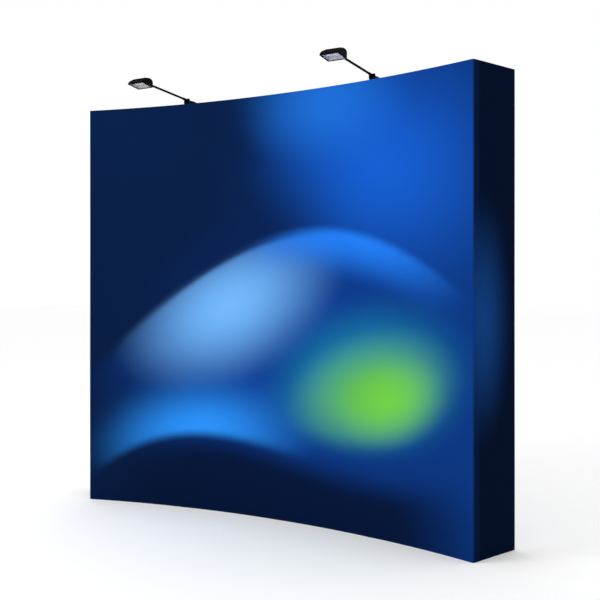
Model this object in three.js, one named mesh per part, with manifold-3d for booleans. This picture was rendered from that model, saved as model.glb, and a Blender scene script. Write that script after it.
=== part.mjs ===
// Curved pop-up display backwall: a concave fabric face and two end flaps on a
// concertina frame of posts and kinked scissor struts, with two floodlights on arms.
// Millimetres, +Z up. +X is to the right as seen from the front, -Y is the front.
import * as THREE from 'three';
import { mergeVertices } from 'three/addons/utils/BufferGeometryUtils.js';
import Module from 'manifold-3d';

const wasm = await Module();
wasm.setup();

// ---------------------------------------------------------------- dimensions
const FACE_R = 4080;            // radius of the concave fabric face, in plan
const HALF_TURN = 16.5;         // degrees from the middle to the end posts
const BAYS = 4;
const FABRIC_TOP = 2280;
const FABRIC_BOTTOM = 3;
const FABRIC_T = 1.6;
const WALL_DEPTH = 315;         // fabric face to the back of the rear hubs

const POST_R = 10;              // post tube
const POST_TOP = 2262;
const POST_BOTTOM = 6.4;
const EYE_R = 17;               // strut eyes and hub collars
const EYE_BORE_R = 10.9;          // corner radius of the bores, flats clear the post by 0.3
const FRONT_AXIS = 30;          // fabric face to front post axis
const ROWS = [['lower', 60], ['middle', 1140], ['upper', 2225]];
const STRUT_R = 6;
const STRUT_Z = 7;              // strut level above or below the row height
const EYE_H = 12;
const COLLAR_H = 24;
const PIN_R = 3;

const LOCK_Z = 1178;            // height of the depth locks
const LOCK_HINGE = 27;          // in front of the rear post axis

const ARM_HINGE_Z = 2307.5;     // lamp arm hinge, straight above the front post axis
const ARM_REACH = 337;          // hinge to the head's tilt pin, forward
const ARM_RISE = 30.7;
const HEAD_TILT = 9;            // degrees, front edge of the lamp's mouth above its rear edge
const HEAD_W = 100;

// ---------------------------------------------------------------- derived plan
const rad = (d) => (d * Math.PI) / 180;
const BETA = rad((2 * HALF_TURN) / BAYS);
const RF = FACE_R + FRONT_AXIS;
const RR = FACE_R + WALL_DEPTH - EYE_R;
const SF = 2 * RF * Math.sin(BETA / 2);
const SR = 2 * RR * Math.sin(BETA / 2);
const HALF_DEPTH = (RR - RF) / 2;
const HALF_SPAN = (SF + SR) / 4 / Math.cos(BETA / 2);
const THETA = Math.atan2(HALF_SPAN, HALF_DEPTH);
const ARM_R = Math.hypot(HALF_SPAN, HALF_DEPTH);
const colAngle = (i) => (i - BAYS / 2) * BETA;
const at = (rho, a) => new THREE.Vector2(rho * Math.sin(a), rho * Math.cos(a) - FACE_R);

// ---------------------------------------------------------------- solids
function solid(geometry) {
  const g = geometry.index ? geometry.toNonIndexed() : geometry.clone();
  for (const n of Object.keys(g.attributes)) if (n !== 'position') g.deleteAttribute(n);
  const m = mergeVertices(g, 1e-4);
  return new wasm.Manifold(new wasm.Mesh({
    numProp: 3,
    vertProperties: new Float32Array(m.attributes.position.array),
    triVerts: new Uint32Array(m.index.array),
  }));
}
function toGeometry(s) {
  const mesh = s.getMesh();
  const g = new THREE.BufferGeometry();
  const src = mesh.vertProperties;
  const pos = new Float32Array((src.length / mesh.numProp) * 3);
  for (let i = 0; i < pos.length / 3; i += 1)
    for (let k = 0; k < 3; k += 1) pos[3 * i + k] = src[mesh.numProp * i + k];
  g.setAttribute('position', new THREE.BufferAttribute(pos, 3));
  g.setIndex(new THREE.BufferAttribute(new Uint32Array(mesh.triVerts), 1));
  g.computeVertexNormals();
  return g;
}
const join = (list) => list.reduce((a, b) => a.add(b));

// upright cylinder from z0 to z1
function post(r, z0, z1, sides = 12, x = 0, y = 0) {
  const g = new THREE.CylinderGeometry(r, r, z1 - z0, sides);
  g.rotateX(Math.PI / 2);
  g.translate(x, y, (z0 + z1) / 2);
  return solid(g);
}
// cylinder between two points
function rod(r, p, q, sides = 8) {
  const d = q.clone().sub(p);
  const g = new THREE.CylinderGeometry(r, r, d.length(), sides);
  g.applyQuaternion(new THREE.Quaternion().setFromUnitVectors(new THREE.Vector3(0, 1, 0), d.clone().normalize()));
  const c = p.clone().add(q).multiplyScalar(0.5);
  g.translate(c.x, c.y, c.z);
  return solid(g);
}
// flat-sided bar between two points at one height
function bar(w, h, p, q) {
  const d = q.clone().sub(p);
  const g = new THREE.BoxGeometry(d.length(), w, h);
  g.rotateZ(Math.atan2(d.y, d.x));
  const c = p.clone().add(q).multiplyScalar(0.5);
  g.translate(c.x, c.y, c.z);
  return solid(g);
}
function block(x0, x1, y0, y1, z0, z1) {
  const g = new THREE.BoxGeometry(x1 - x0, y1 - y0, z1 - z0);
  g.translate((x0 + x1) / 2, (y0 + y1) / 2, (z0 + z1) / 2);
  return solid(g);
}
// outline of x,y points pulled up from z0 to z1
function prism(points, z0, z1) {
  const shape = new THREE.Shape(points.map((p) => new THREE.Vector2(p[0], p[1])));
  const g = new THREE.ExtrudeGeometry(shape, { depth: z1 - z0, bevelEnabled: false });
  g.translate(0, 0, z0);
  return solid(g);
}
const root = new THREE.Group();
const finish = {
  fabric: { color: 0x1b4f9c, roughness: 0.9, metalness: 0 },
  tube: { color: 0xb9bdc2, roughness: 0.35, metalness: 0.9 },
  hub: { color: 0x17181a, roughness: 0.6, metalness: 0 },
  lock: { color: 0x2a2b2e, roughness: 0.5, metalness: 0 },
  lamp: { color: 0x0c0c0d, roughness: 0.45, metalness: 0.1 },
  glass: { color: 0xc9ccd6, roughness: 0.2, metalness: 0 },
};
function put(name, s, kind, place) {
  const mesh = new THREE.Mesh(toGeometry(s), new THREE.MeshStandardMaterial(finish[kind]));
  mesh.name = name;
  if (place) {
    mesh.position.set(place.x, place.y, place.z || 0);
    mesh.rotation.z = place.turn || 0;
  }
  root.add(mesh);
  return mesh;
}
const station = (rho, a) => {
  const p = at(rho, a);
  return { x: p.x, y: p.y, turn: -a };
};

// ---------------------------------------------------------------- posts and hubs
// Every post is the pivot pin of its struts: each row has two strut eyes stacked on a
// hub collar. The lowest collar is also the foot.
function collars() {
  const parts = ROWS.map(([row, z]) => {
    const top = z - EYE_H - 1.6;
    return row === 'lower'
      ? post(24, 0, 8, 10).add(post(EYE_R, 7, top, 10))
      : post(EYE_R, top - COLLAR_H, top, 10);
  });
  return join(parts);
}
// Front: the hub collars sit on one flat upright bar whose front face is the hook strip
// that holds the fabric. It carries the magnet block of the depth lock.
function hookBar() {
  const tie = ROWS.map(([row, z]) => {
    const top = z - EYE_H - 1.6;
    return block(-10, 10, -25.5, -13, row === 'lower' ? 10 : top - COLLAR_H, top);
  });
  const keeper = post(EYE_R - 1, LOCK_Z - 22, LOCK_Z + 14, 10)
    .add(block(-8, 8, 10, 19.6, LOCK_Z - 8, LOCK_Z + 8))
    .add(block(-10, 10, -25.5, -12, LOCK_Z - 18, LOCK_Z + 10));
  return join([collars(), block(-16, 16, -27.8, -24.8, 10, POST_TOP), ...tie, keeper])
    .subtract(post(EYE_BORE_R, 6, POST_TOP + 10, 10));
}
// Rear: a collar above the middle eyes with the lug that the depth lock hinges on.
function lockBracket() {
  return post(EYE_R - 1, LOCK_Z - 22, LOCK_Z + 14, 10)
    .add(block(-5, 5, -LOCK_HINGE - 5, -10, LOCK_Z - 6, LOCK_Z + 6))
    .subtract(rod(3, new THREE.Vector3(-9, -LOCK_HINGE, LOCK_Z), new THREE.Vector3(9, -LOCK_HINGE, LOCK_Z), 8))
    .subtract(post(EYE_BORE_R, LOCK_Z - 30, LOCK_Z + 30, 10));
}

for (let i = 0; i <= BAYS; i += 1) {
  const a = colAngle(i);
  put(`front_post_${i + 1}`, post(POST_R, POST_BOTTOM, POST_TOP, 10), 'tube', station(RF, a));
  put(`front_hook_bar_${i + 1}`, hookBar(), 'hub', station(RF, a));
  put(`rear_post_${i + 1}`, post(POST_R, 2, POST_TOP, 10).add(collars()), 'tube', station(RR, a));
  put(`rear_lock_bracket_${i + 1}`, lockBracket(), 'hub', station(RR, a));

  // depth lock: forked arm on the rear bracket, its magnet end meets the front block
  const reach = RR - RF - LOCK_HINGE - 20;
  const lock = join([
    block(-9, -5.4, -9, 6, -6, 6),
    block(5.4, 9, -9, 6, -6, 6),
    block(-9, 9, -22, -8.6, -6, 6),
    block(-6, 6, -reach + 12, -20, -5, 5),
    block(-9, 9, -reach, -reach + 14, -8, 8),
    rod(2.6, new THREE.Vector3(-8, 0, 0), new THREE.Vector3(8, 0, 0), 8),
  ]);
  const hinge = at(RR - LOCK_HINGE, a);
  put(`depth_lock_${i + 1}`, lock, 'lock', { x: hinge.x, y: hinge.y, z: LOCK_Z, turn: -a });
}

// ---------------------------------------------------------------- scissor struts
// Strut a runs front left to rear right on the upper level of its row, strut b runs
// front right to rear left below it. Both are kinked by the bay's own angle at the
// pin, so the bays keep their angle to each other as the frame closes.
for (let k = 0; k < BAYS; k += 1) {
  const am = (colAngle(k) + colAngle(k + 1)) / 2;
  const mu = THETA - BETA / 2;
  const pin = at(RF * Math.cos(BETA / 2) + ARM_R * Math.cos(mu), am);
  for (const [row, z] of ROWS) {
    for (const side of ['a', 'b']) {
      const up = side === 'a';
      const f = at(RF, colAngle(up ? k : k + 1));
      const r = at(RR, colAngle(up ? k + 1 : k));
      const zc = up ? STRUT_Z : -STRUT_Z;
      const lo = zc - EYE_H / 2;
      const hi = zc + EYE_H / 2;
      const fe = new THREE.Vector3(f.x - pin.x, f.y - pin.y, zc);
      const re = new THREE.Vector3(r.x - pin.x, r.y - pin.y, zc);
      const c = new THREE.Vector3(0, 0, zc);
      let s = join([
        bar(2 * STRUT_R, EYE_H - 2, fe, c), bar(2 * STRUT_R, EYE_H - 2, c, re),
        post(EYE_R - 1, lo, hi, 10, fe.x, fe.y), post(EYE_R - 1, lo, hi, 10, re.x, re.y),
        post(12, lo, hi, 8),
      ]);
      s = s.subtract(post(EYE_BORE_R, lo - 5, hi + 5, 10, fe.x, fe.y));
      s = s.subtract(post(EYE_BORE_R, lo - 5, hi + 5, 10, re.x, re.y));
      if (up) s = s.add(join([post(PIN_R, lo - EYE_H - 4, lo + 2, 6), post(7, lo - EYE_H - 5, lo - EYE_H - 2.4, 6)]));
      else s = s.subtract(post(PIN_R + 0.8, lo - 5, hi + 5, 6));
      put(`bay_${k + 1}_${row}_strut_${side}`, s, 'tube', { x: pin.x, y: pin.y, z });
    }
  }
}

// ---------------------------------------------------------------- fabric
// The face is one sheet on the front hubs, from one end corner to the other.
const face = [];
const STEPS = 24;
const edge = rad(HALF_TURN) + 30 / FACE_R;      // the sheet runs a little past the end posts
for (let i = 0; i <= STEPS; i += 1) {
  const p = at(FACE_R, -edge + (2 * edge * i) / STEPS);
  face.push([p.x, p.y]);
}
for (let i = STEPS; i >= 0; i -= 1) {
  const p = at(FACE_R + FABRIC_T, -edge + (2 * edge * i) / STEPS);
  face.push([p.x, p.y]);
}
put('face_fabric', prism(face, FABRIC_BOTTOM, FABRIC_TOP), 'fabric');
for (const [name, sgn, i] of [['end_flap_left', -1, 0], ['end_flap_right', 1, BAYS]]) {
  const x0 = sgn * (30 - FABRIC_T);
  const x1 = sgn * 30;
  const flap = block(Math.min(x0, x1), Math.max(x0, x1), -FRONT_AXIS + FABRIC_T + 0.5, WALL_DEPTH - FRONT_AXIS, FABRIC_BOTTOM, FABRIC_TOP);
  // hook strips on the flap's inner side, at the rear hubs
  put(name, flap, 'fabric', station(RF, colAngle(i)));
}

// ---------------------------------------------------------------- floodlights
// Both lamps point straight ahead, along -Y, whatever the angle of the post they stand on.
const vec = (x, y, z) => new THREE.Vector3(x, y, z);
// outline of (forward, up) points made into a bar of the given width across X
function slab(points, width) {
  const shape = new THREE.Shape(points.map((p) => new THREE.Vector2(p[0], p[1])));
  const g = new THREE.ExtrudeGeometry(shape, { depth: width, bevelEnabled: false });
  g.translate(0, 0, -width / 2);
  g.applyMatrix4(new THREE.Matrix4().makeBasis(vec(0, -1, 0), vec(0, 0, 1), vec(-1, 0, 0)));
  return solid(g);
}
for (const [name, i] of [['left', 1], ['right', 3]]) {
  const foot = at(RF, colAngle(i));
  const where = { x: foot.x, y: foot.y };
  // clamp: socket on the post top, a block that reaches back over the frame with the
  // cable gland at its end, and a fork for the arm
  let clamp = join([
    post(15, 2243, 2290, 12),
    block(-13, 13, -14, 96, 2286, 2298),
    block(-12, 12, 16, 95, 2297, 2308),
    block(-15, -7.5, -12, 12, 2296, 2317),
    block(7.5, 15, -12, 12, 2296, 2317),
    rod(5, vec(0, 94, 2298), vec(0, 108, 2298), 8),
  ]);
  clamp = clamp.subtract(post(EYE_BORE_R, 2242, POST_TOP + 0.4, 10));
  clamp = clamp.subtract(rod(3.2, vec(-20, 0, ARM_HINGE_Z), vec(20, 0, ARM_HINGE_Z), 8));
  put(`lamp_clamp_${name}`, clamp, 'lamp', where);

  const y1 = -ARM_REACH;
  const z1 = ARM_HINGE_Z + ARM_RISE;
  const arm = join([
    rod(2.8, vec(-13, 0, ARM_HINGE_Z), vec(13, 0, ARM_HINGE_Z), 8),
    rod(8, vec(-7, 0, ARM_HINGE_Z), vec(7, 0, ARM_HINGE_Z), 12),
    rod(6, vec(0, 0, ARM_HINGE_Z), vec(0, y1, z1), 8),
    rod(9, vec(-8, y1, z1), vec(8, y1, z1), 12),
    rod(2.8, vec(-16, y1, z1), vec(16, y1, z1), 8),
  ]);
  put(`lamp_arm_${name}`, arm, 'lamp', where);

  // head, about its tilt pin: a short shell with a domed back, open below, and two ears
  const outer = [[11, -31], [94.5, -31], [94.5, -24], [88, -14.5], [78, -5], [66, 3], [54, 8], [42, 10.4], [30, 10.6], [21, 8], [14, 1.5], [11, -7]];
  const inner = [[15, -40], [90.5, -40], [90.5, -25.5], [85, -17], [75.5, -8.2], [64, -0.8], [53, 4], [41.5, 6.4], [30.5, 6.6], [23, 4], [17.5, -0.5], [15, -8]];
  const cavity = slab(inner, HEAD_W - 8);
  const ears = join([block(-16, -9, -14, 9, -9, 9), block(9, 16, -14, 9, -9, 9)])
    .subtract(cavity)
    .subtract(rod(3.2, vec(-20, 0, 0), vec(20, 0, 0), 8));
  const head = put(`lamp_shell_${name}`, slab(outer, HEAD_W).subtract(cavity).add(ears), 'lamp');

  // glass with the reflector tray behind it, just inside the shell's mouth
  const tray = new THREE.BoxGeometry(HEAD_W - 12, 72, 12);
  const tp = tray.attributes.position;
  for (let v = 0; v < tp.count; v += 1)
    if (tp.getZ(v) > 0) { tp.setX(v, tp.getX(v) * 0.86); tp.setY(v, tp.getY(v) * 0.82); }
  tray.translate(0, -52.8, -23.5);
  const glass = put(`lamp_glass_${name}`, solid(tray), 'glass');
  for (const part of [head, glass]) {
    part.rotation.x = -(HEAD_TILT * Math.PI) / 180;
    part.position.set(foot.x, foot.y + y1, z1);
  }
}

// the origin lies on the floor under the middle of the whole object
root.updateMatrixWorld(true);
const extent = new THREE.Box3().setFromObject(root, true);
root.position.y = -(extent.min.y + extent.max.y) / 2;
root.updateMatrixWorld(true);

export default root;
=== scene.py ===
import math

import bmesh
import bpy
import numpy as np
from mathutils import Matrix, Vector


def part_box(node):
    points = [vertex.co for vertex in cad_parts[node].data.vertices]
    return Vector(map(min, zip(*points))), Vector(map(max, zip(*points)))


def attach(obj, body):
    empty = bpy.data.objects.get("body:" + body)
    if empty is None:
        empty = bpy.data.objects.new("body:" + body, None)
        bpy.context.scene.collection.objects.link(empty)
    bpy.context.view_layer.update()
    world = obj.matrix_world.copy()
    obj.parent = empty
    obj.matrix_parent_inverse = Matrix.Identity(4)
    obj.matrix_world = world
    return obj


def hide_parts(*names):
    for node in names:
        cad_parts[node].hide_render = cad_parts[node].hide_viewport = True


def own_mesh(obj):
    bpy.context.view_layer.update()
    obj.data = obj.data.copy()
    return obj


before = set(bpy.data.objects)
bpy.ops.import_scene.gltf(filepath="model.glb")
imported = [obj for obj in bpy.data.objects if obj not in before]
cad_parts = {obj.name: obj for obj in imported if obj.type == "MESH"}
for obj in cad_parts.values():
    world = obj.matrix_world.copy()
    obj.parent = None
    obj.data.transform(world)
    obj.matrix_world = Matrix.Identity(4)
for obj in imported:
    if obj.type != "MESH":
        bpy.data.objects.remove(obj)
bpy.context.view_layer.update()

# ------------------------------------------------------------------ plan of the wall, in metres
FACE_R = 4.080
HALF_TURN = 16.5
BAYS = 4
FABRIC_TOP, FABRIC_BOTTOM = 2.280, 0.001
FABRIC_T = 0.0016
WALL_DEPTH = 0.315
FRONT_AXIS = 0.030
EYE_R = 0.017
POST_TOP = 2.262
ROWS = [("lower", 0.060), ("middle", 1.140), ("upper", 2.225)]
LOCK_Z = 1.178
LOCK_HINGE = 0.027
ARM_HINGE_Z, ARM_REACH, ARM_RISE = 2.3075, 0.337, 0.0307
HEAD_TILT, HEAD_W = 9.0, 0.100

BETA = math.radians(2 * HALF_TURN / BAYS)
RF = FACE_R + FRONT_AXIS
RR = FACE_R + WALL_DEPTH - EYE_R
SF, SR = 2 * RF * math.sin(BETA / 2), 2 * RR * math.sin(BETA / 2)
HALF_DEPTH = (RR - RF) / 2
HALF_SPAN = (SF + SR) / 4 / math.cos(BETA / 2)
THETA = math.atan2(HALF_SPAN, HALF_DEPTH)
ARM_R = math.hypot(HALF_SPAN, HALF_DEPTH)
lo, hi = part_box("front_post_3")
Y0 = (lo.y + hi.y) / 2 - FRONT_AXIS


def col(i):
    return (i - BAYS / 2) * BETA


def at(rho, a, z=0.0):
    return Vector((rho * math.sin(a), rho * math.cos(a) - FACE_R + Y0, z))


def place(rho, a, z=0.0):
    """Local axes of a station: +X along the wall to the right, +Y to the rear."""
    return Matrix.Translation(at(rho, a, z)) @ Matrix.Rotation(-a, 4, "Z")


# ------------------------------------------------------------------ materials
def new_mat(name):
    m = bpy.data.materials.new(name)
    m.use_nodes = True
    return m, m.node_tree.nodes, m.node_tree.links, m.node_tree.nodes["Principled BSDF"]


def math_node(n, l, op, a, b=None, clamp=False):
    x = n.new("ShaderNodeMath")
    x.operation = op
    x.use_clamp = clamp
    for i, v in enumerate([a, b]):
        if v is None:
            continue
        if isinstance(v, (int, float)):
            x.inputs[i].default_value = v
        else:
            l.new(v, x.inputs[i])
    return x.outputs[0]


def noise(n, l, vec, scale, detail=2.0, rough=0.5, dist=0.0):
    x = n.new("ShaderNodeTexNoise")
    x.inputs["Scale"].default_value = scale
    x.inputs["Detail"].default_value = detail
    x.inputs["Roughness"].default_value = rough
    x.inputs["Distortion"].default_value = dist
    l.new(vec, x.inputs["Vector"])
    return x.outputs["Fac"]


def mapped(n, l, vec, scale=(1, 1, 1), loc=(0, 0, 0), rot=(0, 0, 0)):
    x = n.new("ShaderNodeMapping")
    x.inputs["Scale"].default_value = scale
    x.inputs["Location"].default_value = loc
    x.inputs["Rotation"].default_value = rot
    l.new(vec, x.inputs["Vector"])
    return x.outputs["Vector"]


def ramp(n, l, fac, stops, mode="LINEAR"):
    x = n.new("ShaderNodeValToRGB")
    x.color_ramp.interpolation = mode
    e = x.color_ramp.elements
    while len(e) < len(stops):
        e.new(0.5)
    for el, (p, c) in zip(e, stops):
        el.position = p
        el.color = (*c, 1) if len(c) == 3 else c
    l.new(fac, x.inputs["Fac"])
    return x.outputs["Color"]


def map_range(n, l, v, a, b, c=0.0, d=1.0, smooth=True):
    x = n.new("ShaderNodeMapRange")
    x.interpolation_type = "SMOOTHSTEP" if smooth else "LINEAR"
    for k, val in zip(("From Min", "From Max", "To Min", "To Max"), (a, b, c, d)):
        x.inputs[k].default_value = val
    l.new(v, x.inputs["Value"])
    return x.outputs["Result"]


def mix_rgb(n, l, fac, a, b, mode="MIX"):
    x = n.new("ShaderNodeMix")
    x.data_type = "RGBA"
    x.blend_type = mode
    x.clamp_factor = True
    for key, v in ((0, fac), (6, a), (7, b)):
        if isinstance(v, (int, float)):
            x.inputs[key].default_value = v
        elif isinstance(v, tuple):
            x.inputs[key].default_value = (*v, 1)
        else:
            l.new(v, x.inputs[key])
    return x.outputs[2]


def bump(n, l, height, strength, distance, bsdf, base=None):
    x = n.new("ShaderNodeBump")
    x.inputs["Strength"].default_value = strength
    x.inputs["Distance"].default_value = distance
    l.new(height, x.inputs["Height"])
    if base is not None:
        l.new(base, x.inputs["Normal"])
    l.new(x.outputs["Normal"], bsdf.inputs["Normal"])
    return x.outputs["Normal"]


def srgb(r, g, b):
    return tuple(((v / 255) / 12.92 if v / 255 <= 0.04045 else ((v / 255 + 0.055) / 1.055) ** 2.4) for v in (r, g, b))


def print_and_shade_material():
    """Printed stretch fabric: a generic blend of deep blue, azure and green glows laid out in metres over the wall,
    with a fine warp-knit texture."""
    m, n, l, p = new_mat("printed_fabric_painted_shade")
    uv = n.new("ShaderNodeUVMap")
    uv.uv_map = "UVMap"
    vec = uv.outputs["UV"]
    sep = n.new("ShaderNodeSeparateXYZ")
    l.new(vec, sep.inputs[0])
    s, z = sep.outputs["X"], sep.outputs["Y"]
    A = lambda op, x, y=None: math_node(n, l, op, x, y)

    def poly(x, *c):
        """c0 + c1 x + c2 x^2 + ..."""
        v = c[-1]
        for k in reversed(c[:-1]):
            v = A("ADD", A("MULTIPLY", x, v), k)
        return v

    def fit(*pts):
        x, y = np.array(pts, float).T
        return np.linalg.solve(np.vander(x, increasing=True), y).tolist()

    def glow(cx, cz, rx, rz, turn=0.0, inner=0.0):
        mp = n.new("ShaderNodeMapping")
        mp.vector_type = "TEXTURE"
        mp.inputs["Location"].default_value = (cx, cz, 0)
        mp.inputs["Rotation"].default_value = (0, 0, math.radians(turn))
        mp.inputs["Scale"].default_value = (rx, rz, 1)
        l.new(vec, mp.inputs["Vector"])
        ln = n.new("ShaderNodeVectorMath")
        ln.operation = "LENGTH"
        l.new(mp.outputs[0], ln.inputs[0])
        return map_range(n, l, ln.outputs["Value"], inner, 1.0, 1.0, 0.0)

    def edge(d, soft, crisp):
        """1 just above the curve d = 0, fading over soft above it and over crisp below it."""
        return A("MULTIPLY", map_range(n, l, d, soft, 0.0), map_range(n, l, d, -crisp, crisp * 0.25))

    def lay(c, amount, mask, color):
        return mix_rgb(n, l, A("MULTIPLY", mask, amount), c, color)

    # ground: deep navy, lighter to the right
    c = mix_rgb(n, l, map_range(n, l, s, 1.25, -0.6), srgb(11, 52, 122), srgb(7, 27, 62))
    c = lay(c, 0.95, glow(0.66, 1.86, 0.95, 0.72, -20), srgb(20, 88, 196))
    c = lay(c, 0.55, glow(0.30, 2.22, 0.62, 0.40), srgb(34, 120, 226))

    # arch: from the lower left over a crest right of the middle, with light beneath it
    f1 = A("SUBTRACT", poly(s, *fit((-1.25, 0.72), (-0.60, 1.24), (0.10, 1.52), (0.75, 1.42), (1.25, 1.12))), z)
    c = lay(c, 0.9, A("MULTIPLY", map_range(n, l, f1, -0.03, 0.10), glow(0.0, 0.90, 1.40, 1.0, 0, 0.2)), srgb(13, 58, 140))
    c = lay(c, 0.9, A("MULTIPLY", map_range(n, l, f1, -0.04, 0.05), glow(-0.30, 1.14, 0.84, 0.46, 24)), srgb(112, 178, 240))
    c = lay(c, 0.85, A("MULTIPLY", edge(f1, 0.26, 0.05), glow(0.45, 1.45, 0.85, 0.50, -10, 0.1)), srgb(34, 122, 236))
    # shade above the arch
    c = lay(c, 0.85, A("MULTIPLY", edge(A("MULTIPLY", f1, -1.0), 0.40, 0.03), glow(-0.40, 1.50, 0.95, 0.62, 25, 0.1)), srgb(8, 30, 76))

    # ribbon along the bottom, with a green glow on its right half
    f3 = A("SUBTRACT", z, poly(s, *fit((-1.25, 0.10), (-0.30, 0.44), (0.50, 0.32), (1.25, 0.50))))
    above = map_range(n, l, f3, 0.0, 0.18)
    c = lay(c, 0.9, A("MULTIPLY", edge(f3, 0.42, 0.06), glow(-0.48, 0.46, 0.85, 0.50, 10)), srgb(44, 146, 246))
    c = lay(c, 0.95, A("MULTIPLY", above, glow(0.56, 0.76, 0.74, 0.48, 14, 0.15)), srgb(24, 122, 158))
    c = lay(c, 1.0, A("MULTIPLY", above, glow(0.60, 0.72, 0.60, 0.34, 16, 0.05)), srgb(92, 176, 78))
    c = lay(c, 0.8, A("MULTIPLY", above, glow(0.72, 0.68, 0.38, 0.24, 20)), srgb(112, 202, 64))
    c = lay(c, 0.96, A("MULTIPLY", map_range(n, l, f3, 0.05, -0.16), glow(0.0, 0.05, 1.45, 0.62, 0, 0.5)), srgb(6, 21, 52))

    # quiet corner
    c = lay(c, 0.85, glow(-0.86, 2.16, 0.84, 0.62, 0, 0.15), srgb(7, 29, 68))
    # past the corners the print turns into near black navy, painted shade for the end flaps, and is a little lighter
    # in its first strip as a painted highlight past the rounded corner
    rim = A("ABSOLUTE", s)
    flap_painted_shade_highlight = mix_rgb(n, l, map_range(n, l, rim, 1.232, 1.252), srgb(6, 22, 54), srgb(3, 15, 39))
    c = mix_rgb(n, l, map_range(n, l, rim, 1.196, 1.210), c, mix_rgb(n, l, glow(1.27, 1.10, 0.24, 0.62), flap_painted_shade_highlight, srgb(16, 58, 118)))

    # knit: fine rows and columns, with ink mottling far below what stands out
    wv = n.new("ShaderNodeTexWave")
    wv.inputs["Scale"].default_value = 320
    l.new(vec, wv.inputs["Vector"])
    wh = n.new("ShaderNodeTexWave")
    wh.bands_direction = "Y"
    wh.inputs["Scale"].default_value = 240
    l.new(vec, wh.inputs["Vector"])
    knit = math_node(n, l, "MULTIPLY", wv.outputs["Fac"], wh.outputs["Fac"])
    mottle = noise(n, l, vec, 900, 1.0)
    tone = map_range(n, l, math_node(n, l, "ADD", math_node(n, l, "MULTIPLY", knit, 0.6), math_node(n, l, "MULTIPLY", mottle, 0.4)), 0.0, 1.0, 0.94, 1.05, smooth=False)
    hsv = n.new("ShaderNodeHueSaturation")
    l.new(c, hsv.inputs["Color"])
    l.new(tone, hsv.inputs["Value"])
    l.new(hsv.outputs["Color"], p.inputs["Base Color"])
    p.inputs["Roughness"].default_value = 0.86
    p.inputs["Specular IOR Level"].default_value = 0.01
    big = noise(n, l, mapped(n, l, vec, (1.6, 0.55, 1)), 2.2, 2.0)
    b0 = bump(n, l, big, 0.05, 0.02, p)
    bump(n, l, knit, 0.12, 0.0004, p, b0)
    return m


def lining_material():
    m, n, l, p = new_mat("fabric_back")
    uv = n.new("ShaderNodeUVMap")
    uv.uv_map = "UVMap"
    vec = uv.outputs["UV"]
    wv = n.new("ShaderNodeTexWave")
    wv.inputs["Scale"].default_value = 320
    l.new(vec, wv.inputs["Vector"])
    wh = n.new("ShaderNodeTexWave")
    wh.bands_direction = "Y"
    wh.inputs["Scale"].default_value = 240
    l.new(vec, wh.inputs["Vector"])
    knit = math_node(n, l, "MULTIPLY", wv.outputs["Fac"], wh.outputs["Fac"])
    tint = noise(n, l, vec, 1.4, 2.0)
    c = ramp(n, l, tint, [(0.3, srgb(208, 213, 223)), (0.7, srgb(216, 220, 228))])
    c = mix_rgb(n, l, math_node(n, l, "MULTIPLY", knit, 0.25), c, srgb(170, 176, 190))
    l.new(c, p.inputs["Base Color"])
    p.inputs["Roughness"].default_value = 0.88
    p.inputs["Sheen Weight"].default_value = 0.1
    bump(n, l, knit, 0.2, 0.0004, p)
    return m


def metal_material(name, color, rough, stretch=(60, 60, 1.2), strength=0.05):
    m, n, l, p = new_mat(name)
    tc = n.new("ShaderNodeTexCoord")
    fine = noise(n, l, mapped(n, l, tc.outputs["Object"], stretch), 14, 3.0)
    cloud = noise(n, l, tc.outputs["Object"], 6, 3.0)
    l.new(mix_rgb(n, l, math_node(n, l, "MULTIPLY", cloud, 0.5), color, tuple(v * 0.78 for v in color)), p.inputs["Base Color"])
    l.new(map_range(n, l, fine, 0.3, 0.7, rough - 0.06, rough + 0.1, smooth=False), p.inputs["Roughness"])
    p.inputs["Metallic"].default_value = 1.0
    bump(n, l, fine, strength, 0.0006, p)
    return m


def plastic_material(name, color, rough, grain=900, strength=0.12, worn=0.35):
    m, n, l, p = new_mat(name)
    tc = n.new("ShaderNodeTexCoord")
    g = noise(n, l, tc.outputs["Object"], grain, 2.0)
    smudge = noise(n, l, tc.outputs["Object"], 22, 4.0, 0.6)
    geo = n.new("ShaderNodeNewGeometry")
    wear = math_node(n, l, "MULTIPLY", map_range(n, l, geo.outputs["Pointiness"], 0.52, 0.62), worn)
    base = mix_rgb(n, l, math_node(n, l, "MULTIPLY", smudge, 0.4), color, tuple(min(1, v * 1.9 + (0.004 if v > 0.004 else 0.0)) for v in color))
    l.new(mix_rgb(n, l, wear, base, tuple(min(1, v * 3 + 0.03) for v in color)), p.inputs["Base Color"])
    l.new(map_range(n, l, smudge, 0.3, 0.7, rough - 0.08, rough + 0.08, smooth=False), p.inputs["Roughness"])
    bump(n, l, g, strength, 0.0005, p)
    return m


def hook_material():
    m, n, l, p = new_mat("hook_strip")
    tc = n.new("ShaderNodeTexCoord")
    v = n.new("ShaderNodeTexVoronoi")
    v.inputs["Scale"].default_value = 700
    l.new(tc.outputs["Object"], v.inputs["Vector"])
    l.new(ramp(n, l, v.outputs["Distance"], [(0.0, (0.05, 0.05, 0.055)), (0.6, (0.008, 0.008, 0.01))]), p.inputs["Base Color"])
    p.inputs["Roughness"].default_value = 0.9
    bump(n, l, v.outputs["Distance"], 0.6, 0.0008, p)
    return m


def reflector_material():
    m, n, l, p = new_mat("hammered_reflector")
    tc = n.new("ShaderNodeTexCoord")
    v = n.new("ShaderNodeTexVoronoi")
    v.feature = "SMOOTH_F1"
    v.inputs["Scale"].default_value = 220
    l.new(tc.outputs["Object"], v.inputs["Vector"])
    l.new(ramp(n, l, v.outputs["Distance"], [(0.0, (0.40, 0.385, 0.35)), (0.8, (0.33, 0.32, 0.29))]), p.inputs["Base Color"])
    p.inputs["Metallic"].default_value = 0.75
    p.inputs["Roughness"].default_value = 0.34
    bump(n, l, v.outputs["Distance"], 0.05, 0.0005, p)
    return m


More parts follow.
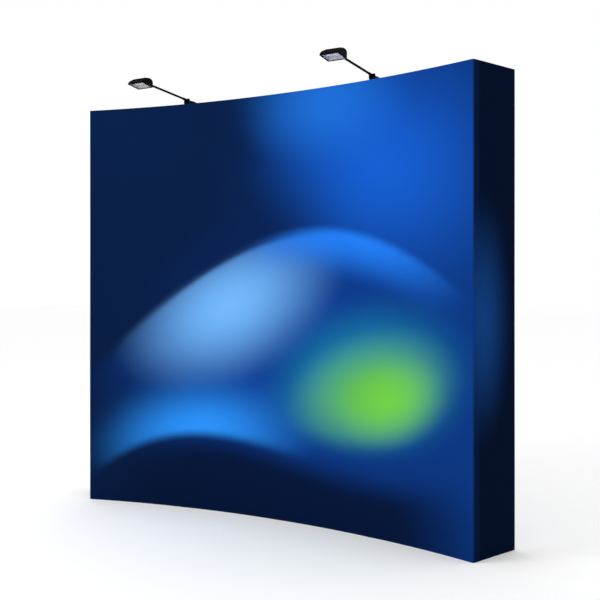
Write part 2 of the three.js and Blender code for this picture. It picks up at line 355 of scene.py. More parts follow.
def glass_material():
    m, n, l, p = new_mat("lamp_glass_clear")
    tc = n.new("ShaderNodeTexCoord")
    f = noise(n, l, tc.outputs["Object"], 60, 3.0)
    l.new(ramp(n, l, f, [(0.3, (0.82, 0.86, 0.92)), (0.7, (0.92, 0.94, 0.97))]), p.inputs["Base Color"])
    p.inputs["Roughness"].default_value = 0.05
    p.inputs["IOR"].default_value = 1.5
    p.inputs["Alpha"].default_value = 0.16
    return m


def burner_material():
    m, n, l, p = new_mat("lamp_tube_frosted")
    tc = n.new("ShaderNodeTexCoord")
    f = noise(n, l, tc.outputs["Object"], 300, 2.0)
    l.new(ramp(n, l, f, [(0.3, (0.86, 0.86, 0.84)), (0.7, (0.97, 0.97, 0.95))]), p.inputs["Base Color"])
    p.inputs["Roughness"].default_value = 0.3
    p.inputs["Coat Weight"].default_value = 0.4
    return m


# fabric material: print on the face, with painted shade and a painted highlight strip on the end flaps
M_PRINT_AND_SHADE = print_and_shade_material()
M_BACK = lining_material()
M_TUBE = metal_material("anodised_tube", srgb(206, 209, 214), 0.30)
M_STEEL = metal_material("zinc_steel", srgb(176, 178, 182), 0.28, (1, 1, 1), 0.03)
M_HUB = plastic_material("hub_nylon", (0.016, 0.016, 0.018), 0.52)
M_LOCK = plastic_material("lock_nylon", (0.028, 0.029, 0.033), 0.45)
M_RUBBER = plastic_material("foot_rubber", (0.012, 0.012, 0.012), 0.85, 400, 0.25, 0.1)
M_LAMP = plastic_material("lamp_powder_coat", (0.0012, 0.0012, 0.0014), 0.55, 1400, 0.1, 0.0)
M_LAMP.node_tree.nodes["Principled BSDF"].inputs["Specular IOR Level"].default_value = 0.02
M_HOOK = hook_material()
M_REFL = reflector_material()
M_GLASS = glass_material()
M_BURN = burner_material()


# ------------------------------------------------------------------ mesh kit
def lathe(profile, sides=32, axis="Z"):
    """Closed turned solid. profile: (radius, height) points; it closes on itself if neither end is on the axis."""
    verts, faces, rings = [], [], []
    for r, z in profile:
        if r < 1e-7:
            rings.append([len(verts)])
            verts.append((0, 0, z))
        else:
            rings.append(list(range(len(verts), len(verts) + sides)))
            verts += [(r * math.cos(2 * math.pi * k / sides), r * math.sin(2 * math.pi * k / sides), z) for k in range(sides)]
    pairs = list(zip(rings, rings[1:]))
    if len(rings[0]) > 1 and len(rings[-1]) > 1:
        pairs.append((rings[-1], rings[0]))
    for a, b in pairs:
        for k in range(sides):
            k2 = (k + 1) % sides
            if len(a) == 1 and len(b) == 1:
                continue
            if len(a) == 1:
                faces.append((a[0], b[k2], b[k]))
            elif len(b) == 1:
                faces.append((a[k], a[k2], b[0]))
            else:
                faces.append((a[k], a[k2], b[k2], b[k]))
    v = np.array(verts, float)
    if axis == "X":
        v = v[:, [2, 0, 1]]
    elif axis == "Y":
        v = v[:, [1, 2, 0]]
    return v, faces


def turned(r, z0, z1, ch=0.0008, sides=32, axis="Z"):
    return lathe([(0, z0), (r - ch, z0), (r, z0 + ch), (r, z1 - ch), (r - ch, z1), (0, z1)], sides, axis)


def ring(r, bore, z0, z1, ch=0.0010, sides=32, axis="Z"):
    return lathe([(bore, z0 + ch), (bore + ch, z0), (r - ch, z0), (r, z0 + ch), (r, z1 - ch), (r - ch, z1), (bore + ch, z1), (bore, z1 - ch)], sides, axis)


def rbox(x0, x1, y0, y1, z0, z1, r=0.0015, seg=2):
    bm = bmesh.new()
    bmesh.ops.create_cube(bm, size=1.0)
    for v in bm.verts:
        v.co = Vector(((x0 + x1) / 2 + v.co.x * (x1 - x0), (y0 + y1) / 2 + v.co.y * (y1 - y0), (z0 + z1) / 2 + v.co.z * (z1 - z0)))
    if r:
        bmesh.ops.bevel(bm, geom=bm.edges[:], offset=min(r, (x1 - x0) / 2.1, (y1 - y0) / 2.1, (z1 - z0) / 2.1), segments=seg, affect="EDGES", profile=0.5)
    bm.verts.index_update()
    out = np.array([v.co[:] for v in bm.verts], float), [tuple(v.index for v in f.verts) for f in bm.faces]
    bm.free()
    return out


def tube(points, r, sides=20, flat=1.0, cap=0.0006):
    """Round or oval bar along a polyline, with small chamfers at both ends. flat squeezes it vertically."""
    pts = [Vector(p) for p in points]
    d0 = (pts[1] - pts[0]).normalized()
    d1 = (pts[-1] - pts[-2]).normalized()
    stations = [(pts[0], r - cap), (pts[0] + d0 * cap, r)] + [(p, r) for p in pts[1:-1]] + [(pts[-1] - d1 * cap, r), (pts[-1], r - cap)]
    verts, faces = [], []
    n = len(stations)
    for i, (p, rad) in enumerate(stations):
        a = stations[max(i - 1, 0)][0]
        b = stations[min(i + 1, n - 1)][0]
        t = (b - a).normalized()
        side = t.cross(Vector((0, 0, 1)))
        side = side.normalized() if side.length > 1e-6 else Vector((1, 0, 0))
        up = side.cross(t).normalized()
        for k in range(sides):
            q = 2 * math.pi * k / sides
            verts.append(p + side * rad * math.cos(q) + up * rad * flat * math.sin(q))
    for i in range(n - 1):
        for k in range(sides):
            k2 = (k + 1) % sides
            faces.append((i * sides + k, i * sides + k2, (i + 1) * sides + k2, (i + 1) * sides + k))
    faces.append(tuple(range(sides))[::-1])
    faces.append(tuple((n - 1) * sides + k for k in range(sides)))
    return np.array([v[:] for v in verts], float), faces


def rounded_rect(w, h, r, seg=5):
    pts = []
    for cx, cy, a0 in ((w / 2 - r, h / 2 - r, 0), (-w / 2 + r, h / 2 - r, 90), (-w / 2 + r, -h / 2 + r, 180), (w / 2 - r, -h / 2 + r, 270)):
        for k in range(seg + 1):
            a = math.radians(a0 + 90 * k / seg)
            pts.append((cx + r * math.cos(a), cy + r * math.sin(a)))
    return pts


def loft(loops, closed=False):
    """Skin through loops of equal length, ends capped unless closed."""
    n = len(loops[0])
    verts = [p for lp in loops for p in lp]
    faces = []
    m = len(loops)
    for i in range(m if closed else m - 1):
        j = (i + 1) % m
        for k in range(n):
            k2 = (k + 1) % n
            faces.append((i * n + k, i * n + k2, j * n + k2, j * n + k))
    if not closed:
        faces.append(tuple(range(n))[::-1])
        faces.append(tuple((m - 1) * n + k for k in range(n)))
    return np.array(verts, float), faces


class Piece:
    """Collects shapes with materials, then makes one object that rides on a body."""

    def __init__(self, name):
        self.name, self.v, self.f, self.mi, self.mats, self.n = name, [], [], [], [], 0

    def add(self, shape, mat, matrix=None):
        v, f = shape
        v = np.asarray(v, float)
        if matrix is not None:
            m = np.array(matrix, float)
            v = v @ m[:3, :3].T + m[:3, 3]
        if mat not in self.mats:
            self.mats.append(mat)
        i = self.mats.index(mat)
        self.v.append(v)
        self.f += [tuple(x + self.n for x in q) for q in f]
        self.mi += [i] * len(f)
        self.n += len(v)
        return self

    def done(self, body, matrix=None, replaces=(), slot=None, sharp=32):
        v = np.concatenate(self.v)
        if matrix is not None:
            m = np.array(matrix, float)
            v = v @ m[:3, :3].T + m[:3, 3]
        me = bpy.data.meshes.new(self.name)
        me.from_pydata([tuple(x) for x in v], [], self.f)
        for mt in self.mats:
            me.materials.append(mt)
        me.polygons.foreach_set("material_index", self.mi)
        bm = bmesh.new()
        bm.from_mesh(me)
        bmesh.ops.recalc_face_normals(bm, faces=bm.faces)
        bm.to_mesh(me)
        bm.free()
        me.polygons.foreach_set("use_smooth", [True] * len(me.polygons))
        me.set_sharp_from_angle(angle=math.radians(sharp))
        me.update()
        o = bpy.data.objects.new(self.name, me)
        bpy.context.scene.collection.objects.link(o)
        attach(o, body)
        if replaces:
            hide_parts(*replaces)
        return o


# ------------------------------------------------------------------ posts, hook bars, hubs
def hub_profile(z0, z1, r=0.0168, bore=0.0104):
    """Moulded collar with a waist and chamfered rims."""
    c = 0.0016
    h = z1 - z0
    return [(bore, z0 + 0.0006), (bore + 0.0006, z0), (r - c, z0), (r, z0 + c), (r, z0 + 0.26 * h), (r - 0.0014, z0 + 0.32 * h),
            (r - 0.0014, z1 - 0.32 * h), (r, z1 - 0.26 * h), (r, z1 - c), (r - c, z1), (bore + 0.0006, z1), (bore, z1 - 0.0006)]


for i in range(BAYS + 1):
    a = col(i)
    mf, mr = place(RF, a), place(RR, a)
    tag = i + 1
    # front post: drawn tube, two joint lines where its sections plug together
    prof = [(0, 0.0064), (0.0096, 0.0064), (0.0100, 0.0070)]
    for zj in (0.62, 1.70):
        prof += [(0.0100, zj - 0.0006), (0.0094, zj - 0.0003), (0.0094, zj + 0.0003), (0.0100, zj + 0.0006)]
    prof += [(0.0100, POST_TOP - 0.0008), (0.0092, POST_TOP), (0.0080, POST_TOP), (0.0080, POST_TOP - 0.012), (0, POST_TOP - 0.012)]
    q = Piece(f"front_post_tube_{tag}").add(lathe(prof, 32), M_TUBE)
    q.done(f"front_column_{tag}", mf, [f"front_post_{tag}"], "aluminium_tube")
    # rear post: the same tube, with its hubs and foot as their own piece
    q = Piece(f"rear_post_tube_{tag}").add(lathe([(r, z) for r, z in prof], 32), M_TUBE)
    q.done(f"rear_column_{tag}", mr, [f"rear_post_{tag}"], "aluminium_tube")
    for side, m in (("front", mf), ("rear", mr)):
        if side == "front" and i in (1, 3):
            continue
        q = Piece(f"{side}_post_cap_{tag}")
        q.add(lathe([(0, POST_TOP - 0.010), (0.0076, POST_TOP - 0.010), (0.0076, POST_TOP + 0.0001), (0.0102, POST_TOP + 0.0002),
                     (0.0104, POST_TOP + 0.0018), (0.0090, POST_TOP + 0.0040), (0.0050, POST_TOP + 0.0050), (0, POST_TOP + 0.0052)], 32), M_HUB)
        q.done(f"{side}_column_{tag}", m, (), "hub_plastic")

    def hubs(q):
        for row, z in ROWS:
            top = z - 0.012 - 0.0016
            if row == "lower":
                q.add(lathe([(0.0001, 0.0008), (0.0225, 0.0008), (0.0238, 0.0022), (0.0238, 0.0068), (0.0222, 0.0090), (0.0182, 0.0112),
                             (0.0168, 0.0150), (0.0168, top - 0.0016), (0.0152, top), (0.0110, top), (0.0104, top - 0.0006), (0.0104, 0.0062), (0.0001, 0.0062)], 40), M_HUB)
                q.add(ring(0.0232, 0.0130, 0.0, 0.0010, 0.0003, 40), M_RUBBER)
                for k in range(8):
                    r = Matrix.Rotation(math.radians(45 * k + 22.5), 4, "Z")
                    q.add(rbox(-0.0011, 0.0011, 0.0160, 0.0222, 0.0080, 0.0300, 0.0006, 1), M_HUB, r)
            else:
                q.add(lathe(hub_profile(top - 0.024, top), 40), M_HUB)
            # thrust washer under the eyes
            q.add(ring(0.0150, 0.0106, top + 0.0001, top + 0.0011, 0.0002, 32), M_STEEL)

    q = Piece(f"rear_hubs_{tag}")
    hubs(q)
    q.done(f"rear_column_{tag}", mr, (), "hub_plastic")

    q = Piece(f"front_hook_bar_full_{tag}")
    hubs(q)
    q.add(rbox(-0.016, 0.016, -0.0270, -0.0248, 0.010, POST_TOP, 0.0006, 2), M_HUB)
    q.add(rbox(-0.0155, -0.0135, -0.0252, -0.0222, 0.012, POST_TOP - 0.002, 0.0006, 1), M_HUB)
    q.add(rbox(0.0135, 0.0155, -0.0252, -0.0222, 0.012, POST_TOP - 0.002, 0.0006, 1), M_HUB)
    q.add(rbox(-0.0125, 0.0125, -0.0279, -0.0268, 0.012, POST_TOP - 0.004, 0.0005, 2), M_HOOK)
    for row, z in ROWS:
        top = z - 0.012 - 0.0016
        z0 = 0.012 if row == "lower" else top - 0.0235
        q.add(rbox(-0.0098, 0.0098, -0.0254, -0.0130, z0, top - 0.0004, 0.0012, 2), M_HUB)
        for zz in (z0 + 0.007, top - 0.007):
            q.add(turned(0.0026, -0.0288, -0.0276, 0.0004, 16, "Y"), M_STEEL, Matrix.Translation((0, 0, zz)))
    q.add(lathe(hub_profile(LOCK_Z - 0.022, LOCK_Z + 0.014, 0.0158), 40), M_HUB)
    q.add(rbox(-0.0098, 0.0098, -0.0254, -0.0120, LOCK_Z - 0.018, LOCK_Z + 0.010, 0.0012, 2), M_HUB)
    q.add(rbox(-0.0080, 0.0080, 0.0110, 0.0176, LOCK_Z - 0.0080, LOCK_Z + 0.0080, 0.0012, 2), M_HUB)
    q.add(turned(0.0062, 0.0170, 0.0196, 0.0004, 28, "Y"), M_STEEL, Matrix.Translation((0, 0, LOCK_Z)))
    q.done(f"front_column_{tag}", mf, [f"front_hook_bar_{tag}"], "hub_plastic")

    q = Piece(f"rear_lock_bracket_full_{tag}")
    q.add(lathe(hub_profile(LOCK_Z - 0.022, LOCK_Z + 0.014, 0.0158), 40), M_HUB)
    q.add(rbox(-0.0048, 0.0048, -0.0242, -0.0110, LOCK_Z - 0.0060, LOCK_Z + 0.0060, 0.0010, 2), M_HUB)
    q.add(ring(0.0060, 0.0030, -0.0048, 0.0048, 0.0005, 28, "X"), M_HUB, Matrix.Translation((0, -LOCK_HINGE, LOCK_Z)))
    for s in (-1, 1):
        q.add(turned(0.0022, 0.0150, 0.0172, 0.0004, 16, "Y"), M_STEEL, Matrix.Translation((s * 0.0001, 0, LOCK_Z + s * 0.009)))
    q.done(f"rear_column_{tag}", mr, [f"rear_lock_bracket_{tag}"], "hub_plastic")

    # depth lock: ribbed arm, fork and pin at the hinge, round magnet in the far end
    reach = RR - RF - LOCK_HINGE - 0.020
    q = Piece(f"depth_lock_full_{tag}")
    for s in (-1, 1):
        q.add(rbox(s * 0.0072 - 0.0018, s * 0.0072 + 0.0018, -0.0200, 0.0010, -0.0058, 0.0058, 0.0012, 2), M_LOCK)
        q.add(turned(0.0060, s * 0.0072 - 0.0018, s * 0.0072 + 0.0018, 0.0006, 28, "X"), M_LOCK)
    q.add(rbox(-0.0090, 0.0090, -0.0220, -0.0110, -0.0058, 0.0058, 0.0016, 2), M_LOCK)
    q.add(rbox(-0.0060, 0.0060, -reach + 0.012, -0.0200, -0.0012, 0.0012, 0.0006, 1), M_LOCK)
    for s in (-1, 1):
        q.add(rbox(s * 0.0050 - 0.0010, s * 0.0050 + 0.0010, -reach + 0.010, -0.0205, -0.0050, 0.0050, 0.0006, 1), M_LOCK)
    for k in range(6):
        y = -0.040 - k * (reach - 0.075) / 5
        q.add(rbox(-0.0045, 0.0045, y - 0.0007, y + 0.0007, -0.0044, 0.0044, 0.0003, 1), M_LOCK)
    q.add(rbox(-0.0090, 0.0090, -reach + 0.0012, -reach + 0.0150, -0.0080, 0.0080, 0.0018, 2), M_LOCK)
    q.add(turned(0.0062, -reach + 0.0001, -reach + 0.0020, 0.0003, 28, "Y"), M_STEEL)
    q.add(turned(0.0025, -0.0098, 0.0098, 0.0005, 20, "X"), M_STEEL)
    q.add(turned(0.0040, 0.0089, 0.0101, 0.0004, 20, "X"), M_STEEL)
    q.done(f"depth_lock_arm_{tag}", place(RR - LOCK_HINGE, a, LOCK_Z), [f"depth_lock_{tag}"], "lock_plastic")

# ------------------------------------------------------------------ scissor struts
for k in range(BAYS):
    am = (col(k) + col(k + 1)) / 2
    mu = THETA - BETA / 2
    pin = at(RF * math.cos(BETA / 2) + ARM_R * math.cos(mu), am)
    for row, z in ROWS:
        for side in ("a", "b"):
            up = side == "a"
            f = at(RF, col(k if up else k + 1), 0)
            r = at(RR, col(k + 1 if up else k), 0)
            zc = z + (0.007 if up else -0.007)
            c = Vector((pin.x, pin.y, zc))
            q = Piece(f"bay_{k + 1}_{row}_strut_{side}_full")
            for end in (f, r):
                e = Vector((end.x, end.y, zc))
                d = (e - c).normalized()
                q.add(ring(0.0158, 0.0108, -0.0058, 0.0058, 0.0010, 40), M_HUB, Matrix.Translation(e))
                turn = Matrix.Translation(e) @ Matrix.Rotation(math.atan2(-d.y, -d.x), 4, "Z")
                # tapered neck from the eye over the tube's end
                loops = []
                for x, w, h in ((0.0122, 0.0110, 0.0100), (0.0170, 0.0122, 0.0110), (0.0260, 0.0134, 0.0122), (0.0518, 0.0134, 0.0122), (0.0530, 0.0128, 0.0118)):
                    loops.append([(x, y, zz) for y, zz in rounded_rect(w, h, 0.0042, 4)])
                q.add(loft(loops), M_HUB, turn)
                q.add(turned(0.0016, 0.0055, 0.0067, 0.0004, 14), M_STEEL, turn @ Matrix.Translation((0.040, 0, 0)))
                # tube, then the middle knuckle's socket over its other end
                q.add(tube([e - d * 0.050, c + d * 0.030], 0.0056, 24), M_TUBE)
                turn = Matrix.Translation(c) @ Matrix.Rotation(math.atan2(d.y, d.x), 4, "Z")
                loops = []
                for x, w, h in ((0.0070, 0.0120, 0.0108), (0.0140, 0.0130, 0.0118), (0.0333, 0.0134, 0.0122), (0.0345, 0.0128, 0.0118)):
                    loops.append([(x, y, zz) for y, zz in rounded_rect(w, h, 0.0042, 4)])
                q.add(loft(loops), M_HUB, turn)
            here = Matrix.Translation(c)
            if up:
                q.add(turned(0.0118, -0.0058, 0.0058, 0.0012, 36), M_HUB, here)
                q.add(turned(0.0029, -0.0225, -0.0040, 0.0003, 20), M_STEEL, here)
                q.add(lathe([(0, -0.0229), (0.0046, -0.0229), (0.0066, -0.0218), (0.0068, -0.0206), (0, -0.0206)], 28), M_STEEL, here)
                q.add(lathe([(0, 0.0056), (0.0068, 0.0056), (0.0066, 0.0066), (0.0046, 0.0078), (0, 0.0080)], 28), M_STEEL, here)
            else:
                q.add(ring(0.0118, 0.0036, -0.0058, 0.0058, 0.0012, 36), M_HUB, here)
            q.done(f"bay_{k + 1}_struts_{side}", None, [f"bay_{k + 1}_{row}_strut_{side}"], "aluminium_tube")


# ------------------------------------------------------------------ fabric
def cloth(name, stations, body, replaces, axis=None):
    """A thin closed sheet. stations: (s, outer point, outward normal) along the plan, left to right seen from the front.
    The printed skin is outside; hems at the top and bottom are folded to the rear and stitched."""
    H0, H1 = FABRIC_BOTTOM, FABRIC_TOP
    zs = [H0, H0 + 0.0012, H0 + 0.006, H0 + 0.0135, H0 + 0.0145, H0 + 0.0155, H0 + 0.0205, H0 + 0.0215, H0 + 0.024]
    mid = list(np.linspace(H0 + 0.05, H1 - 0.05, 54))
    zs = zs + mid + [H0 + H1 - z for z in reversed(zs)]
    n, m = len(stations), len(zs)
    verts, uvs = [], []
    for side in (0, 1):
        for s, p, nrm in stations:
            for z in zs:
                e = min(z - H0, H1 - z)
                hem = 1.0 if e < 0.0215 else 0.0                      # folded double near the edge
                stitch = 1.0 if abs(e - 0.0145) < 0.0006 else 0.0      # pulled in along the stitch line
                if side == 0:
                    off = -0.00045 * stitch
                    if e < 0.0005:
                        off -= 0.0007
                    # slack that stretching leaves: barely there
                    off += 0.0006 * math.sin(5.1 * s + 1.9 * z) * math.sin(1.7 * z + 0.6)
                else:
                    off = -FABRIC_T - 0.0006 * hem + 0.0005 * stitch
                    if e < 0.0005:
                        off += 0.0007
                    off += 0.0006 * math.sin(5.1 * s + 1.9 * z) * math.sin(1.7 * z + 0.6)
                verts.append((p[0] + nrm[0] * off, p[1] + nrm[1] * off, z))
                uvs.append((s, z))
    idx = lambda side, i, j: side * n * m + i * m + j
    faces, mats = [], []
    for i in range(n - 1):
        for j in range(m - 1):
            faces.append((idx(0, i, j), idx(0, i + 1, j), idx(0, i + 1, j + 1), idx(0, i, j + 1)))
            mats.append(0)
            faces.append((idx(1, i, j), idx(1, i, j + 1), idx(1, i + 1, j + 1), idx(1, i + 1, j)))
            mats.append(1)
        for j, flip in ((0, True), (m - 1, False)):
            f = (idx(0, i, j), idx(0, i + 1, j), idx(1, i + 1, j), idx(1, i, j))
            faces.append(f[::-1] if flip else f)
            mats.append(0)
    for i, flip in ((0, False), (n - 1, True)):
        for j in range(m - 1):
            f = (idx(0, i, j), idx(0, i, j + 1), idx(1, i, j + 1), idx(1, i, j))
            faces.append(f[::-1] if flip else f)
            mats.append(0)
    me = bpy.data.meshes.new(name)
    me.from_pydata(verts, [], faces)
    me.materials.append(M_PRINT_AND_SHADE)
    me.materials.append(M_BACK)
    me.polygons.foreach_set("material_index", mats)
    me.polygons.foreach_set("use_smooth", [True] * len(faces))
    layer = me.uv_layers.new(name="UVMap")
    for lp in me.loops:
        layer.data[lp.index].uv = uvs[lp.vertex_index]
    me.set_sharp_from_angle(angle=math.radians(50))
    me.update()
    o = bpy.data.objects.new(name, me)
    bpy.context.scene.collection.objects.link(o)
    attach(o, body)
    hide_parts(replaces)
    if axis:
        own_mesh(o)
    return o


STRIP = 0.020                       # half width of the fabric that each hook bar holds


def arc(a0, a1, steps):
    out = []
    for i in range(steps + 1):
        a = a0 + (a1 - a0) * i / steps
        p = at(FACE_R, a)
        out.append((FACE_R * a, (p.x, p.y), (-math.sin(a), -math.cos(a))))
    return out


DA = STRIP / FACE_R
for k in range(BAYS):
    a0, a1 = col(k) + DA, col(k + 1) - DA
    inner = k + 1 if k < 2 else k          # the column nearer the middle
    pa, pb = at(FACE_R, a0), at(FACE_R, a1)
    o = cloth(f"face_fabric_bay_{k + 1}", arc(a0, a1, 28), f"front_column_{inner + 1}", "face_fabric",
              (pb - pa).normalized()[:])
for i in range(1, BAYS):
    o = cloth(f"face_fabric_strip_{i + 1}", arc(col(i) - DA, col(i) + DA, 2), f"front_column_{i + 1}", "face_fabric")

CORNER = 0.012
for name, sgn, i in (("left", -1, 0), ("right", 1, BAYS)):
    a = col(i)
    m = place(RF, a)
    rot = Matrix.Rotation(-a, 4, "Z")
    inv = m.inverted()
    pts = []
    # the face's last strip, on the arc as far as the post and straight past it
    for step in (-1.0, -0.5):
        q = inv @ at(FACE_R, a + sgn * step * DA)
        pts.append((sgn * q.x, q.y, sgn * math.sin(-sgn * step * DA), -1.0, step * STRIP))
    for x in np.linspace(0, 0.030 - CORNER, 4):
        pts.append((x, -FRONT_AXIS, 0.0, -1.0, x))
    for q in range(1, 9):
        t = math.radians(90 * q / 8)
        pts.append((0.030 - CORNER + CORNER * math.sin(t), -FRONT_AXIS + CORNER - CORNER * math.cos(t), math.sin(t), -math.cos(t), 0.030 - CORNER + CORNER * t))
    base = 0.030 - CORNER + CORNER * math.pi / 2
    for y in np.linspace(-FRONT_AXIS + CORNER, WALL_DEPTH - FRONT_AXIS, 16)[1:]:
        pts.append((0.030, y, 1.0, 0.0, base + y + FRONT_AXIS - CORNER))
    st = []
    for x, y, nx, ny, run in pts:
        p = m @ Vector((sgn * x, y, 0))
        nn = rot @ Vector((sgn * nx, ny, 0))
        st.append((FACE_R * a + sgn * run, (p.x, p.y), (nn.x, nn.y)))
    if sgn < 0:
        st = st[::-1]
    o = cloth(f"end_flap_{name}_full", st, f"front_column_{i + 1}", f"end_flap_{name}")
    # loop strip sewn inside the flap's rear edge
    q = Piece(f"end_flap_{name}_tape")
    q.add(rbox(min(sgn * 0.0265, sgn * 0.0283), max(sgn * 0.0265, sgn * 0.0283), WALL_DEPTH - FRONT_AXIS - 0.034, WALL_DEPTH - FRONT_AXIS - 0.006, FABRIC_BOTTOM + 0.03, FABRIC_TOP - 0.03, 0.0005, 1), M_HOOK)
    q.done(f"front_column_{i + 1}", m, (), "hub_plastic")

# ------------------------------------------------------------------ floodlights
def smooth_line(pts, per=5):
    """Catmull-Rom through points, ends kept."""
    p = [np.array(q, float) for q in pts]
    p = [2 * p[0] - p[1]] + p + [2 * p[-1] - p[-2]]
    out = []
    for i in range(1, len(p) - 2):
        for k in range(per):
            t = k / per
            out.append(0.5 * (2 * p[i] + (p[i + 1] - p[i - 1]) * t + (2 * p[i - 1] - 5 * p[i] + 4 * p[i + 1] - p[i + 2]) * t * t + (3 * p[i] - p[i - 1] - 3 * p[i + 1] + p[i + 2]) * t ** 3))
    out.append(p[-2])
    return [tuple(v) for v in out]


def inset_line(pts, d):
    """Open line moved sideways by d, to the right of its direction."""
    v = np.array(pts, float)
    t = np.gradient(v, axis=0)
    t /= np.linalg.norm(t, axis=1)[:, None]
    return [tuple(q) for q in v + np.stack([t[:, 1], -t[:, 0]], 1) * d]


# head outline in (forward, up) from the tilt pin: rear foot, over the dome, front foot
MM = 0.001
DOME = smooth_line([(11, -29), (11.0, -18), (11.4, -7), (14.4, 1.8), (21, 7.8), (30, 10.4), (42, 10.3), (54, 8), (66, 3), (78, -5), (88, -14.6), (93.4, -22.4), (94.5, -26), (94.5, -29)], 4)
DOME = [(x * MM, y * MM) for x, y in DOME]
INNER = inset_line(DOME, 0.0024)
MOUTH_U, F0, F1, HALF_W = -0.031, 0.011, 0.0945, HEAD_W / 2
FC = (F0 + F1) / 2
for name, i in (("left", 1), ("right", 3)):
    foot = at(RF, col(i))
    m = Matrix.Translation(foot)
    body = f"front_column_{i + 1}"
    HZ = ARM_HINGE_Z
    q = Piece(f"lamp_clamp_{name}_full")
    q.add(lathe([(0.0112, 2.2436), (0.0118, 2.2430), (0.0142, 2.2430), (0.0150, 2.2438), (0.0150, 2.2600), (0.0142, 2.2608), (0.0142, 2.2640),
                 (0.0150, 2.2648), (0.0150, 2.2868), (0.0140, 2.2890), (0.0001, 2.2890), (0.0001, POST_TOP + 0.0006), (0.0112, POST_TOP + 0.0006)], 36), M_LAMP)
    q.add(rbox(-0.0130, 0.0130, -0.0140, 0.0960, 2.2862, 2.2978, 0.0030, 3), M_LAMP)
    # tapered housing of the wiring behind the fork, with a lid seam and screws
    lps = []
    for y, w, z0, z1, r in ((0.0150, 0.0200, 2.2964, 2.3040, 0.0020), (0.0170, 0.0236, 2.2960, 2.3078, 0.0032), (0.0560, 0.0236, 2.2960, 2.3080, 0.0032), (0.0900, 0.0224, 2.2960, 2.3030, 0.0030), (0.0950, 0.0200, 2.2960, 2.3008, 0.0020)):
        lps.append([(x, y, (z0 + z1) / 2 + zz) for x, zz in rounded_rect(w, z1 - z0, r, 4)])
    q.add(loft(lps), M_LAMP)
    q.add(rbox(-0.0119, 0.0119, 0.0200, 0.0900, 2.29735, 2.2983, 0.0004, 1), M_HUB)
    for y in (0.026, 0.080):
        q.add(turned(0.0024, 2.3050 if y < 0.05 else 2.3030, 2.3086 if y < 0.05 else 2.3052, 0.0004, 18), M_STEEL, Matrix.Translation((0, y, 0)))
    for sg in (-1, 1):
        q.add(rbox(sg * 0.01125 - 0.0036, sg * 0.01125 + 0.0036, -0.0092, 0.0092, 2.2962, HZ, 0.0012, 2), M_LAMP)
        q.add(turned(0.0088, sg * 0.01125 - 0.0036, sg * 0.01125 + 0.0036, 0.0010, 36, "X"), M_LAMP, Matrix.Translation((0, 0, HZ)))
    q.add(turned(0.0046, 0.0149, 0.0178, 0.0008, 6, "X"), M_LAMP, Matrix.Translation((0, 0, HZ)))
    q.add(turned(0.0046, -0.0172, -0.0149, 0.0012, 24, "X"), M_LAMP, Matrix.Translation((0, 0, HZ)))
    # grub screw of the socket
    q.add(turned(0.0030, 0.0144, 0.0170, 0.0005, 16, "Y"), M_STEEL, Matrix.Translation((0, 0, 2.2540)))
    # cable gland: hexagon, dome nut, dark opening
    gl = Matrix.Translation((0, 0, 2.2980))
    q.add(turned(0.0066, 0.0945, 0.0985, 0.0006, 6, "Y"), M_HUB, gl)
    q.add(lathe([(0.0034, 0.0980), (0.0056, 0.0980), (0.0060, 0.0990), (0.0060, 0.1040), (0.0048, 0.1078), (0.0030, 0.1080), (0.0026, 0.1070), (0.0026, 0.1000), (0.0034, 0.0990)], 28, "Y"), M_HUB, gl)
    q.add(turned(0.0030, 0.0985, 0.1040, 0.0003, 20, "Y"), M_RUBBER, gl)
    q.done(body, m, [f"lamp_clamp_{name}"], "lamp_black")

    p0, p1 = Vector((0, 0, HZ)), Vector((0, -ARM_REACH, HZ + ARM_RISE))
    d = (p1 - p0).normalized()
    q = Piece(f"lamp_arm_{name}_full")
    q.add(turned(0.0080, -0.0071, 0.0071, 0.0008, 36, "X"), M_LAMP, Matrix.Translation(p0))
    q.add(turned(0.0027, -0.0145, 0.0145, 0.0004, 18, "X"), M_STEEL, Matrix.Translation(p0))
    q.add(tube([p0 + d * 0.004, p0 + d * 0.036], 0.0070, 28), M_LAMP)
    q.add(tube([p0 + d * 0.032, p1 - d * 0.030], 0.0058, 28), M_LAMP)
    q.add(tube([p1 - d * 0.034, p1 - d * 0.004], 0.0068, 28), M_LAMP)
    for t in (0.030, ARM_REACH - 0.026):
        q.add(ring(0.0074, 0.0054, -0.0012, 0.0012, 0.0004, 28), M_LAMP, Matrix.Translation(p0 + d * t) @ d.to_track_quat("Z", "Y").to_matrix().to_4x4())
    q.add(turned(0.0090, -0.0079, 0.0079, 0.0012, 36, "X"), M_LAMP, Matrix.Translation(p1))
    q.add(turned(0.0027, -0.0160, 0.0160, 0.0004, 18, "X"), M_STEEL, Matrix.Translation(p1))
    q.done(f"lamp_{name}_arm", m, [f"lamp_arm_{name}"], "lamp_black")

    mh = Matrix.Translation(foot + p1) @ Matrix.Rotation(-math.radians(HEAD_TILT), 4, "X")
    head = f"lamp_{name}_head"
    q = Piece(f"lamp_shell_{name}_full")
    # domed skin across the width, thin walled
    xs = [-HALF_W + 0.002, -HALF_W * 0.5, 0.0, HALF_W * 0.5, HALF_W - 0.002]
    loops = []
    for x in xs:
        lp = [(x, -f, u) for f, u in DOME]
        lp.append((x, -F1, MOUTH_U))
        lp.append((x, -(F1 - 0.0024), MOUTH_U))
        lp += [(x, -f, u) for f, u in reversed(INNER)]
        lp.append((x, -(F0 + 0.0024), MOUTH_U))
        lp.append((x, -F0, MOUTH_U))
        loops.append(lp)
    q.add(loft(loops), M_LAMP)
